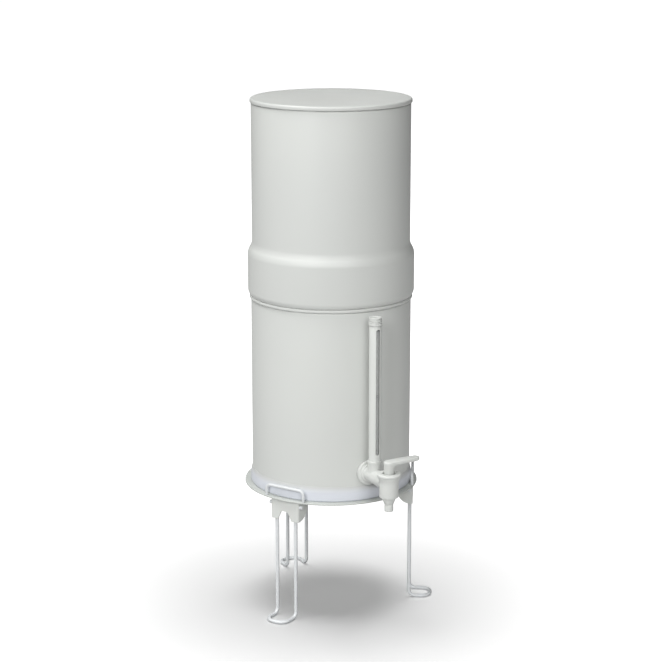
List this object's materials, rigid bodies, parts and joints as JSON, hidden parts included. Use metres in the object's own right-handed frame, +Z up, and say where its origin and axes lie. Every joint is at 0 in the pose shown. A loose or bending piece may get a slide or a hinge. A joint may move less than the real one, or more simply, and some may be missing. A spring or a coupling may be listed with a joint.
{
  "type": "gravity water filter",
  "caption": "Gravity water filter: upper vessel with ceramic candles nested on a lower vessel, lid, tap with a float level gauge, and a ring stand on folding wire legs.",
  "frame": {"origin": "on the vessels' axis, at the height of the floor that the wire feet stand on", "axes": "+Z up along the vessels' axis; the tap and its gauge face -Y; +X completes the frame, and the closed tap lever points to +X"},
  "size_m": [0.2504, 0.3242, 0.694],
  "materials": {
    "vessel_paint": "satin light grey coat",
    "stand_paint": "satin light grey coat",
    "wire_paint": "satin light grey coat over round wire",
    "band_plastic": "smooth cool white",
    "tap_plastic": "moulded, light warm grey",
    "seal_rubber": "matte black",
    "clear_tube": "clear tube",
    "float_plastic": "dark indicator",
    "filter_ceramic": "unglazed, off-white",
    "fitting_plastic": "moulded"
  },
  "bodies": {
    "stand": {"stand_ring": "stand_paint", "leg_bracket_left": "stand_paint", "leg_bracket_right": "stand_paint", "leg_bracket_rear": "stand_paint", "retaining_hoop_left": "wire_paint", "retaining_hoop_right": "wire_paint", "retaining_hoop_rear": "wire_paint"},
    "leg_left": {"folding_leg_left": "wire_paint"},
    "leg_right": {"folding_leg_right": "wire_paint"},
    "leg_rear": {"folding_leg_rear": "wire_paint"},
    "lower_vessel": {"lower_vessel": "vessel_paint", "base_band": "band_plastic", "tap_tee": "tap_plastic", "outer_gasket": "seal_rubber", "inner_gasket": "seal_rubber", "shank_nut": "fitting_plastic", "gauge_guard": "tap_plastic", "sight_tube": "clear_tube", "gauge_cap": "tap_plastic", "lower_gauge_seal": "seal_rubber", "upper_gauge_seal": "seal_rubber", "valve_barrel": "tap_plastic", "valve_bonnet": "tap_plastic"},
    "level_float": {"level_float": "float_plastic"},
    "tap_lever": {"tap_lever": "tap_plastic", "valve_plug": "fitting_plastic", "plug_seals": "seal_rubber"},
    "upper_vessel": {"upper_vessel": "vessel_paint", "filter_candle_1": "filter_ceramic", "filter_candle_2": "filter_ceramic", "filter_candle_3": "filter_ceramic", "candle_base_1": "fitting_plastic", "candle_base_2": "fitting_plastic", "candle_base_3": "fitting_plastic", "upper_washers": "seal_rubber", "lower_washers": "seal_rubber", "wing_nuts": "fitting_plastic"},
    "lid": {"lid": "vessel_paint"}
  },
  "joints": [
    {"name": "leg_left_fold", "type": "hinge", "parent": "stand", "child": "leg_left", "pos_m": [-0.0944, -0.0545, 0.1585], "axis": [0.5, -0.866, 0], "range_deg": [0, 90]},
    {"name": "leg_right_fold", "type": "hinge", "parent": "stand", "child": "leg_right", "pos_m": [0.0944, -0.0545, 0.1585], "axis": [0.5, 0.866, 0], "range_deg": [0, 86]},
    {"name": "leg_rear_fold", "type": "hinge", "parent": "stand", "child": "leg_rear", "pos_m": [0, 0.109, 0.1585], "axis": [-1, 0, 0], "range_deg": [0, 78]},
    {"name": "lower_vessel_lift", "type": "slide", "parent": "stand", "child": "lower_vessel", "axis": [0, 0, 1], "range_m": [0, 0.06]},
    {"name": "float_rise", "type": "slide", "parent": "lower_vessel", "child": "level_float", "axis": [0, 0, 1], "range_m": [0, 0.085]},
    {"name": "tap_turn", "type": "hinge", "parent": "lower_vessel", "child": "tap_lever", "pos_m": [0, -0.1674, 0.21], "axis": [0, 0, -1], "range_deg": [0, 90]},
    {"name": "upper_vessel_lift", "type": "slide", "parent": "lower_vessel", "child": "upper_vessel", "axis": [0, 0, 1], "range_m": [0, 0.12]},
    {"name": "lid_lift", "type": "slide", "parent": "upper_vessel", "child": "lid", "axis": [0, 0, 1], "range_m": [0, 0.06]}
  ]
}
